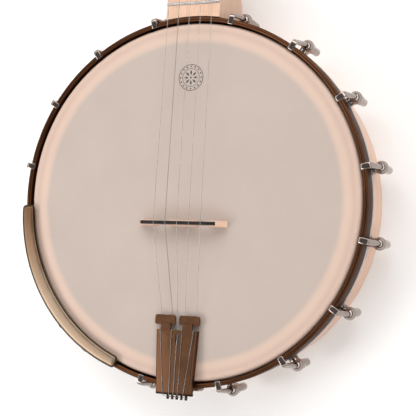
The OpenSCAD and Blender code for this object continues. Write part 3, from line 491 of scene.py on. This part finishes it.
def mother_of_pearl():
    """Shell in soft patches of green, cream, pink and blue."""
    f = Finish("pearl_shell", Coat_Weight=0.8, Coat_Roughness=0.1)
    warped = f.noise(f.place, 1.6, detail=3.0)
    colour = f.ramp(
        warped, (0.3, (0.62, 0.78, 0.74)), (0.45, (0.86, 0.86, 0.82)), (0.55, (0.88, 0.76, 0.80)),
        (0.7, (0.68, 0.74, 0.88))
    )
    f.drive("Base Color", colour)
    f.drive("Roughness", f.scaled(warped, 0.15, 0.35))
    f.bump(warped, 0.01, 0.3)
    return f.material


def print_ink():
    """Matt black ink, a little worn."""
    f = Finish("printed_ink")
    worn = f.noise(f.place, 0.5, detail=3.0)
    f.drive("Base Color", f.ramp(worn, (0.35, (0.022, 0.018, 0.016)), (0.7, (0.055, 0.046, 0.042))))
    f.drive("Roughness", f.scaled(worn, 0.5, 0.7))
    return f.material


def wound_wire():
    """A string's winding: fine turns across its length."""
    f = Finish("wound_wire", Metallic=1.0)
    inputs = {"Vector": f.place, "Scale": 1 / (0.9 * MM)}
    turns = f.node("ShaderNodeTexWave", inputs, bands_direction="Y").outputs["Fac"]
    f.drive("Base Color", f.ramp(turns, (0.1, (0.13, 0.12, 0.11)), (0.6, (0.32, 0.30, 0.27))))
    f.drive("Roughness", f.scaled(turns, 0.3, 0.45, 0, 1))
    f.bump(turns, 0.03, 0.5)
    return f.material


neck_lengthwise = (1.0, 0.03, 1.0)
finish = {
    "rim_maple": rim_wood(),
    "neck_maple": wood(
        "neck_maple_grain", (0.67, 0.445, 0.32), (0.50, 0.305, 0.205), neck_lengthwise
    ),
    "bridge_maple": wood(
        "bridge_maple_grain", (0.86, 0.60, 0.46), (0.72, 0.47, 0.35), (0.1, 1.0, 1.0)
    ),
    "ebony": ebony_wood(),
    "drum_head": head_skin(),
    "bare_alloy": metal(
        "drawn_alloy", (0.44, 0.465, 0.49), (0.36, 0.38, 0.41), (0.22, 0.36), round_pot(0.5)
    ),
    "bronze_paint": metal(
        "bronze_hoop", (0.105, 0.043, 0.020), (0.040, 0.016, 0.008), (0.30, 0.42), round_pot(0.5),
        edge_tint=0.6
    ),
    # The armrest's bronze carries painted shade on its edges and a painted sheen on its top.
    "brushed_bronze": metal(
        "brushed_bronze_grain_painted_sheen", (0.43, 0.295, 0.198), (0.25, 0.165, 0.108), (0.30, 0.44), speckle(0.5),
        depth=0.02, shade=armrest_painted_shade_and_sheen
    ),
    "nickel_plate": metal(
        "bright_nickel", (0.35, 0.29, 0.26), (0.29, 0.24, 0.215), (0.05, 0.12), speckle(2.2)
    ),
    "gear_brass": metal(
        "cut_brass", (0.78, 0.57, 0.26), (0.62, 0.44, 0.19), (0.25, 0.4), speckle(0.6)
    ),
    "plain_string": metal(
        "plain_wire", (0.40, 0.39, 0.385), (0.31, 0.30, 0.295), (0.18, 0.3), speckle(1.5)
    ),
    "wound_string": wound_wire(),
    "zinc_steel": metal(
        "zinc_steel_bar", (0.60, 0.62, 0.64), (0.46, 0.48, 0.51), (0.3, 0.45),
        streaks(0.8, neck_lengthwise)
    ),
    "fret_wire": metal(
        "polished_fret_wire", (0.44, 0.43, 0.42), (0.36, 0.35, 0.34), (0.2, 0.32),
        streaks(0.6, (0.05, 1, 1))
    ),
    "bone": bone_white(),
    "pearl": mother_of_pearl()
}
# The pressed bronze carries painted shade towards the rear, over the tailpiece's rear bend and pins.
pressed_bronze = metal(
    "pressed_bronze", (0.165, 0.080, 0.042), (0.095, 0.045, 0.023), (0.32, 0.46),
    speckle(0.45), depth=0.02, edge_tint=0.5, shade=rear_painted_shade
)


# ---------- the pot ----------

def make_head():
    """A thin skin: flat on top, rounded over the rim's crest, then a collar and a turned-out lip."""
    skin = 0.35
    crest = 4.4
    clear_of_rim = 0.02
    low, high = pot_box("head")
    collar = rim_r + clear_of_rim + skin
    lip = low.z + skin
    shape = bmesh.new()
    flats = (1.5, 12, 30, 50, 70, 90, 108, 122, 131, 137, 142)
    arc = [math.radians(90 - 90 * i / 10) for i in range(11)]

    def side(offset):
        top = [(r, high.z - offset) for r in flats]
        bend = [
            (collar - crest + (crest - offset) * math.cos(a), high.z - crest + (crest - offset) * math.sin(a))
            for a in arc
        ]
        return top + bend

    outer = side(0) + [(collar, lip), (high.x, lip)]
    inner = side(skin) + [(collar - skin, lip - skin), (high.x, lip - skin)]
    turned(shape, outer + inner[::-1], count=360)
    add_piece("head_skin", shape, finish["drum_head"], ["head"])


def make_tension_hoop():
    """A crowned hoop with a notch for each hook."""
    low, high = pot_box("tension_hoop")
    outer = high.x
    inner = min(reach(p) for p in solids("tension_hoop")[0])
    crown = 0.3
    crown_inset = 1.2
    notch_depth = 1.42
    notch_half = math.asin(2.7 / outer)
    notch_wall = 0.0002
    step = math.radians(1.1)
    shoulder = high.z - crown
    sides = fillet([(inner, low.z, 0.3), (outer, low.z, 0.3), (outer, shoulder, 0.7), (inner, shoulder, 0.7)])
    per_corner = FILLET_STEPS + 1
    section = sides[:2 * per_corner + 3]
    for i in range(1, 6):
        r = outer - crown_inset - (outer - inner - 2 * crown_inset) * i / 6
        section.append(Vector((r, high.z - crown * ((2 * r - inner - outer) / (outer - inner)) ** 2)))
    section += sides[3 * per_corner + 2:]

    def station(angle, top):
        return [(p[0] * math.cos(angle), p[0] * math.sin(angle), min(p[1], top)) for p in section]

    rings = []
    cut = high.z - notch_depth
    for i, angle in enumerate(hook_angles):
        after = hook_angles[(i + 1) % len(hook_angles)]
        gap = (after - angle) % TAU
        rings.append(station(angle - notch_half + notch_wall, cut))
        rings.append(station(angle, cut))
        rings.append(station(angle + notch_half - notch_wall, cut))
        count = max(2, round((gap - 2 * notch_half) / step))
        for k in range(count + 1):
            rings.append(station(angle + notch_half + (gap - 2 * notch_half) * k / count, high.z))
    shape = bmesh.new()
    loft(shape, rings, closed=True)
    add_piece("tension_hoop_look", shape, finish["bronze_paint"], ["tension_hoop"], smooth=40)


def rounded_box_section(half_w, half_h, power):
    """A closed section between a rounded box and an ellipse, as (across, up) points."""
    count = 28
    points = []
    for i in range(count):
        a = TAU * (i + 0.5) / count
        c, s = math.cos(a), math.sin(a)
        across = math.copysign(half_w * abs(c) ** (2 / power), c)
        up = math.copysign(half_h * abs(s) ** (2 / power), s)
        points.append((across, up))
    return points


def make_hooks():
    """Each hook is a flat tongue in the hoop's notch that turns down and becomes a round shank."""
    shape = bmesh.new()
    shank_r = 2.2
    strap_half_w = 2.5
    strap_half_h = 0.95
    strap_t = 2.0
    bend = 2.0
    knee_z = 50.0
    steps = 8
    for points in solids("tension_hooks"):
        turn = Matrix.Rotation(bearing(middle(points)), 4, "Z")
        top = max(p.z for p in points)
        low = min(p.z for p in points)
        tip = min(reach(p) for p in points)
        top_x = max(reach(p) for p in points if p.z > top - strap_t / 2 - bend - 0.1) - strap_t / 2
        shank_x = max(reach(p) for p in points) - shank_r
        mid_z = top - strap_t / 2
        path = [(tip, mid_z, 0.0), (tip + 0.35, mid_z, 0.0), (top_x - bend - 0.6, mid_z, 0.0)]
        for i in range(steps + 1):
            a = math.radians(90 - 90 * i / steps)
            x = top_x - bend + bend * math.cos(a)
            path.append((x, mid_z - bend + bend * math.sin(a), 0.3 * i / steps))
        for along, blend in ((0.12, 0.5), (0.3, 0.75), (0.5, 0.92), (0.7, 1.0), (0.94, 1.0)):
            x = top_x + (shank_x - top_x) * along
            path.append((x, mid_z - bend + (knee_z - mid_z + bend) * along, blend))
        path += [(shank_x, z, 1.0) for z in (knee_z - 1, low + 0.3, low)]
        rings = []
        for i, (x, z, blend) in enumerate(path):
            before = Vector(path[max(i - 1, 0)][:2])
            after = Vector(path[min(i + 1, len(path) - 1)][:2])
            along = (after - before).normalized()
            up = Vector((-along.y, along.x))
            half_w = strap_half_w + (shank_r - strap_half_w) * blend
            half_h = strap_half_h + (shank_r - strap_half_h) * blend
            power = 6 - 4 * blend ** 0.5
            shrink = 0.82 if i in (0, len(path) - 1) else 1.0
            rings.append([
                (x + up.x * v * shrink, u * shrink, z + up.y * v * shrink)
                for u, v in rounded_box_section(half_w, half_h, power)
            ])
        loft(shape, rings, turn)
    add_piece("hooks", shape, finish["nickel_plate"], ["tension_hooks"], smooth=50)


def edge_radius(points):
    """Reads points along one edge of a band round the pot.

    Gives a function from angle to radius, and the edge's first and last angle.
    """
    chain = sorted((bearing(p) % TAU, reach(p)) for p in points)

    def radius(angle):
        for (a, r), (b, q) in zip(chain, chain[1:]):
            if a <= angle <= b:
                return r + (q - r) * (angle - a) / max(b - a, 1e-9)
        return chain[0][1] if angle < chain[0][0] else chain[-1][1]

    return radius, chain[0][0], chain[-1][0]


def make_armrest():
    """A crowned plate with rounded corners, on the CAD skirt."""
    high = pot_box("armrest")[1]
    plate_t = 1.6
    plate_low = high.z - plate_t
    cut_z = plate_low - 0.05
    mid_r = 153.0
    shape = cad_mesh("armrest")
    top = [v.co.copy() for v in shape.verts if v.co.z > high.z - 0.01]
    outer, first, last = edge_radius([p for p in top if reach(p) > mid_r])
    inner = edge_radius([p for p in top if reach(p) < mid_r])[0]
    trim = 3.0 / mid_r
    cuts = [
        ((0, 0, cut_z), (0, 0, 1)),
        ((0, 0, 0), (math.sin(first + trim), -math.cos(first + trim), 0)),
        ((0, 0, 0), (-math.sin(last - trim), math.cos(last - trim), 0))
    ]
    for place, outward in cuts:
        bmesh.ops.bisect_plane(
            shape, geom=shape.verts[:] + shape.edges[:] + shape.faces[:], plane_co=place, plane_no=outward,
            clear_outer=True
        )
        bmesh.ops.holes_fill(shape, edges=[e for e in shape.edges if e.is_boundary], sides=0)
    for vert in shape.verts:
        if vert.co.z > cut_z - 0.01:
            vert.co.z = plate_low + 0.1

    def outline(inset):
        corner = max(3.2 - inset, 0.4) / mid_r
        start = first + inset / mid_r
        end = last - inset / mid_r
        points = []

        def put(angle, share, spread):
            r = inner(angle) + inset + (outer(angle) - inner(angle) - 2 * inset) * share + spread
            points.append((r * math.cos(angle), r * math.sin(angle)))

        runs = 70
        bends = 6
        for i in range(runs + 1):
            put(start + corner + (end - start - 2 * corner) * i / runs, 1, 0)
        for i in range(1, bends + 1):
            a = math.radians(90 - 90 * i / bends)
            put(end - corner + corner * math.cos(a), 1, -corner * mid_r * (1 - math.sin(a)))
        for i in range(bends):
            a = math.radians(90 * i / bends)
            put(end - corner + corner * math.cos(a), 0, corner * mid_r * (1 - math.sin(a)))
        for i in range(runs + 1):
            put(end - corner - (end - start - 2 * corner) * i / runs, 0, 0)
        for i in range(1, bends + 1):
            a = math.radians(90 - 90 * i / bends)
            put(start + corner - corner * math.cos(a), 0, corner * mid_r * (1 - math.sin(a)))
        for i in range(bends):
            a = math.radians(90 * i / bends)
            put(start + corner - corner * math.cos(a), 1, -corner * mid_r * (1 - math.sin(a)))
        return points

    crown = [
        (0.4, -plate_t), (0.0, -plate_t + 0.25), (0.0, -1.15), (0.15, -1.0), (1.4, -0.8), (1.65, -0.5),
        (1.9, -0.25), (2.3, -0.12), (3.0, -0.06), (3.7, -0.02), (4.4, 0.0)
    ]
    loft(shape, [[(x, y, high.z + z) for x, y in outline(inset)] for inset, z in crown])
    add_piece("armrest_look", shape, finish["brushed_bronze"], ["armrest"], smooth=40)


def round_edges(shape, edges, width, segments):
    """Rounds some of a shape's edges."""
    bmesh.ops.bevel(
        shape, geom=edges, offset=width, segments=segments, profile=0.5, affect="EDGES", clamp_overlap=True
    )


def make_tailpiece():
    """The stamped cover with rolled edges, and tongues whose bars have rounded corners."""
    rolled_from = 30
    bar_zone = 9
    thinnest, thickest = 1.2, 1.6
    shape = flat_mesh("tailpiece")
    shape.normal_update()
    cover = max((f for f in shape.faces if f.normal.z > 0.9), key=lambda f: f.calc_area())
    place = cover.verts[0].co.copy()
    upward = cover.normal.copy()
    bars_from = pot_box("tailpiece")[1].y - bar_zone

    def on_cover(edge):
        return all(abs((v.co - place).dot(upward)) < 0.02 for v in edge.verts)

    def at_bars(edge):
        return all(v.co.y > bars_from for v in edge.verts)

    def upright(edge):
        return abs((edge.verts[0].co - edge.verts[1].co).z) > 0.9 * edge.calc_length()

    sharp = [e for e in shape.edges if e.calc_face_angle(0) > 1]
    rolled = [e for e in sharp if e.calc_length() > rolled_from and on_cover(e)]
    corners = [e for e in sharp if thinnest < e.calc_length() < thickest and at_bars(e) and upright(e)]
    round_edges(shape, corners, 2.0, 4)
    round_edges(shape, [e for e in rolled if e.is_valid], 2.2, 5)
    add_piece("tailpiece_look", shape, pressed_bronze, ["tailpiece"], bevel=0.22, smooth=35)


def make_tuner_housings():
    """Each gear housing's cover is pressed with rounded edges."""
    housings = 4
    shape = flat_mesh("tuner_housings")
    shape.normal_update()
    backs = sorted((f for f in shape.faces if f.normal.z < -0.9), key=lambda f: f.calc_area())
    round_edges(shape, [e for cover in backs[-housings:] for e in cover.edges], 2.0, 5)
    add_piece("tuner_housings_look", shape, finish["nickel_plate"], ["tuner_housings"], bevel=0.2)


def knees(node):
    """The middles of the clusters of points along a string, from the tail to the neck."""
    widest_cluster_gap = 2.5
    points = sorted(cad_points(node), key=lambda p: p.y)
    groups = [[points[0]]]
    for point in points[1:]:
        if point.y - groups[-1][-1].y > widest_cluster_gap:
            groups.append([])
        groups[-1].append(point)
    return [middle(group) for group in groups]


def make_string_twists():
    """Each string's free end is wound round it in front of the tailpiece's rear edge."""
    length = 13.0
    pitch = 1.25
    per_turn = 10
    wire = 0.2
    gap_to_twist = 2.0
    nearest_knee = 12
    rear = pot_box("tailpiece")[0].y + 4.2
    for n in range(1, 6):
        node = f"string_{n}"
        face = [p for p in cad_points(node) if rear - 1 < p.y < rear + 3]
        start = middle(face)
        ahead = [p for p in knees(node) if p.y > start.y + nearest_knee][0]
        along = (ahead - start).normalized()
        across = along.orthogonal().normalized()
        other = along.cross(across)
        count = round(length / pitch * per_turn)
        centre = start + along * gap_to_twist
        points = [
            centre + along * (length * i / count)
            + 2 * wire * (math.cos(TAU * i / per_turn) * across + math.sin(TAU * i / per_turn) * other)
            for i in range(count + 1)
        ]
        shape = bmesh.new()
        tube(shape, points, wire, sides=6)
        add_piece(f"string_twist_{n}", shape, finish["plain_string"], [node], smooth=70)


def make_head_ornament():
    """A plain printed ring of small lozenges round a four-petalled lozenge."""
    at = Matrix.Translation((0.2, 105.4, pot_box("head")[1].z))
    base = 0.01
    ink = 0.04
    shape = bmesh.new()
    for outer, width in ((11.4, 0.55), (7.9, 0.4)):
        inner = outer - width
        ringed(shape, [(inner, base), (outer, base), (outer, ink), (inner, ink)], at, 96)

    def lozenge(r, long, wide, angle):
        turn = at @ Matrix.Rotation(angle, 4, "Z") @ Matrix.Translation((r, 0, 0))
        slab(shape, [(long, 0), (0, wide), (-long, 0), (0, -wide)], base, ink, turn)

    for i in range(16):
        lozenge(9.55, 0.85, 0.85, TAU * i / 16)
    for i in range(8):
        lozenge(4.4, 2.3, 0.95, TAU * i / 8)
    lozenge(0, 1.0, 1.0, 0)
    piece = add_piece("head_ornament", shape, print_ink(), ["head"])


make_head()
make_tension_hoop()
make_hooks()
make_armrest()
make_tailpiece()
make_tuner_housings()
make_string_twists()
make_head_ornament()

eased = {
    "rim": 0.3, "flesh_hoop": 0.6, "bracket_shoes": 0.3, "shoe_bolts": 0.3, "shoe_washers": 0.25,
    "bracket_nuts": 0.3, "coordinator_rod": 0.4, "rod_end_bolt": 0.3, "neck_bolts": 0.4, "neck_nuts": 0.3,
    "rim_washers": 0.25, "tailpiece_screws": 0.2, "armrest_screws": 0.25, "bridge_base": 0.3,
    "bridge_cap": 0.15, "neck": 0.5, "frets": 0.12, "inlays": 0.05, "nut": 0.2, "fifth_string_nut": 0.12,
    "tuner_bushings": 0.25, "tuner_washers": 0.2, "tuner_screws": 0.2,
    "fifth_peg_body": 0.3, "fifth_peg_spool": 0.2, "fifth_peg_button": 0.3,
    "armrest_brackets": 0.3, "tailpiece_bracket": 0.4
}
for n in range(1, 5):
    eased.update({
        f"tuner_post_{n}": 0.2, f"worm_wheel_{n}": 0.15, f"worm_shaft_{n}": 0.12, f"tuner_button_{n}": 0.3,
        f"string_coil_{n}": 0, f"string_{n}": 0
    })
eased.update({"string_5": 0, "fifth_string_coil": 0})
for node, width in eased.items():
    look = pressed_bronze if node == "tailpiece_bracket" else finish[slot_of[node]]
    refine(node, look, width)


# ---------- stage, light and camera ----------

def make_floor():
    """A wide sheet of pale paper that the rim's back lies on."""
    shape = bmesh.new()
    half = 20.0
    corners = [(-half, -half), (half, -half), (half, half), (-half, half)]
    shape.faces.new([shape.verts.new((x, y, rim_low.z)) for x, y in corners])
    mesh = bpy.data.meshes.new("floor")
    shape.to_mesh(mesh)
    shape.free()
    paper = Finish("pale_paper")
    tone = paper.noise(paper.place, 400.0)
    paper.drive("Base Color", paper.ramp(tone, (0.3, 0.85), (0.7, 0.88)))
    paper.drive("Roughness", paper.scaled(tone, 0.85, 0.95))
    mesh.materials.append(paper.material)
    floor = bpy.data.objects.new("floor", mesh)
    bpy.context.scene.collection.objects.link(floor)


def soft_box(name, size, place, aim, power):
    """A rectangular light of size (x, y) metres at a place, facing a point."""
    light = bpy.data.lights.new(name, "AREA")
    light.shape = "RECTANGLE"
    light.size, light.size_y = size
    light.energy = power
    lamp = bpy.data.objects.new(name, light)
    lamp.location = place
    lamp.rotation_euler = (aim - place).to_track_quat("-Z", "Y").to_euler()
    bpy.context.scene.collection.objects.link(lamp)


def make_world():
    """Light from all round in bands: a bright horizon, a dark belt, a bright belt and a dim zenith."""
    world = bpy.data.worlds.new("studio")
    world.use_nodes = True
    tree = world.node_tree
    around = tree.nodes.new("ShaderNodeTexCoord")
    split = tree.nodes.new("ShaderNodeSeparateXYZ")
    ramp = tree.nodes.new("ShaderNodeValToRGB")
    tree.links.new(around.outputs["Generated"], split.inputs[0])
    tree.links.new(split.outputs["Z"], ramp.inputs[0])
    tree.links.new(ramp.outputs["Color"], tree.nodes["Background"].inputs["Color"])
    bands = (
        (0.0, 1.2), (0.24, 1.2), (0.3, 0.14), (0.52, 0.14),
        (0.58, 2.7), (0.74, 2.7), (0.8, 0.2), (1.0, 0.2)
    )
    while len(ramp.color_ramp.elements) < len(bands):
        ramp.color_ramp.elements.new(1.0)
    for element, (position, grey) in zip(ramp.color_ramp.elements, bands):
        element.position = position
        element.color = (grey, grey * 0.995, grey * 0.985, 1)
    bpy.context.scene.world = world


make_floor()
top_middle = Vector((pot_centre.x, pot_centre.y, rim_high.z))
soft_box("key_left", (0.9, 0.9), top_middle + Vector((-1.32, -0.64, 1.36)), top_middle, 13)
soft_box("from_neck_end", (3.2, 1.8), top_middle + Vector((0.2, 1.5, 1.7)), top_middle, 36)
make_world()

camera_data = bpy.data.cameras.new("camera")
camera_data.lens = 86.95
camera_data.sensor_width = 36
camera = bpy.data.objects.new("camera", camera_data)
camera.location = pot_centre + Vector((0.34678, -0.04412, 0.84815))
camera.rotation_euler = [math.radians(a) for a in (3.4772, 22.6519, 2.2663)]
bpy.context.scene.collection.objects.link(camera)
bpy.context.scene.camera = camera
bpy.context.scene.view_settings.view_transform = "Standard"
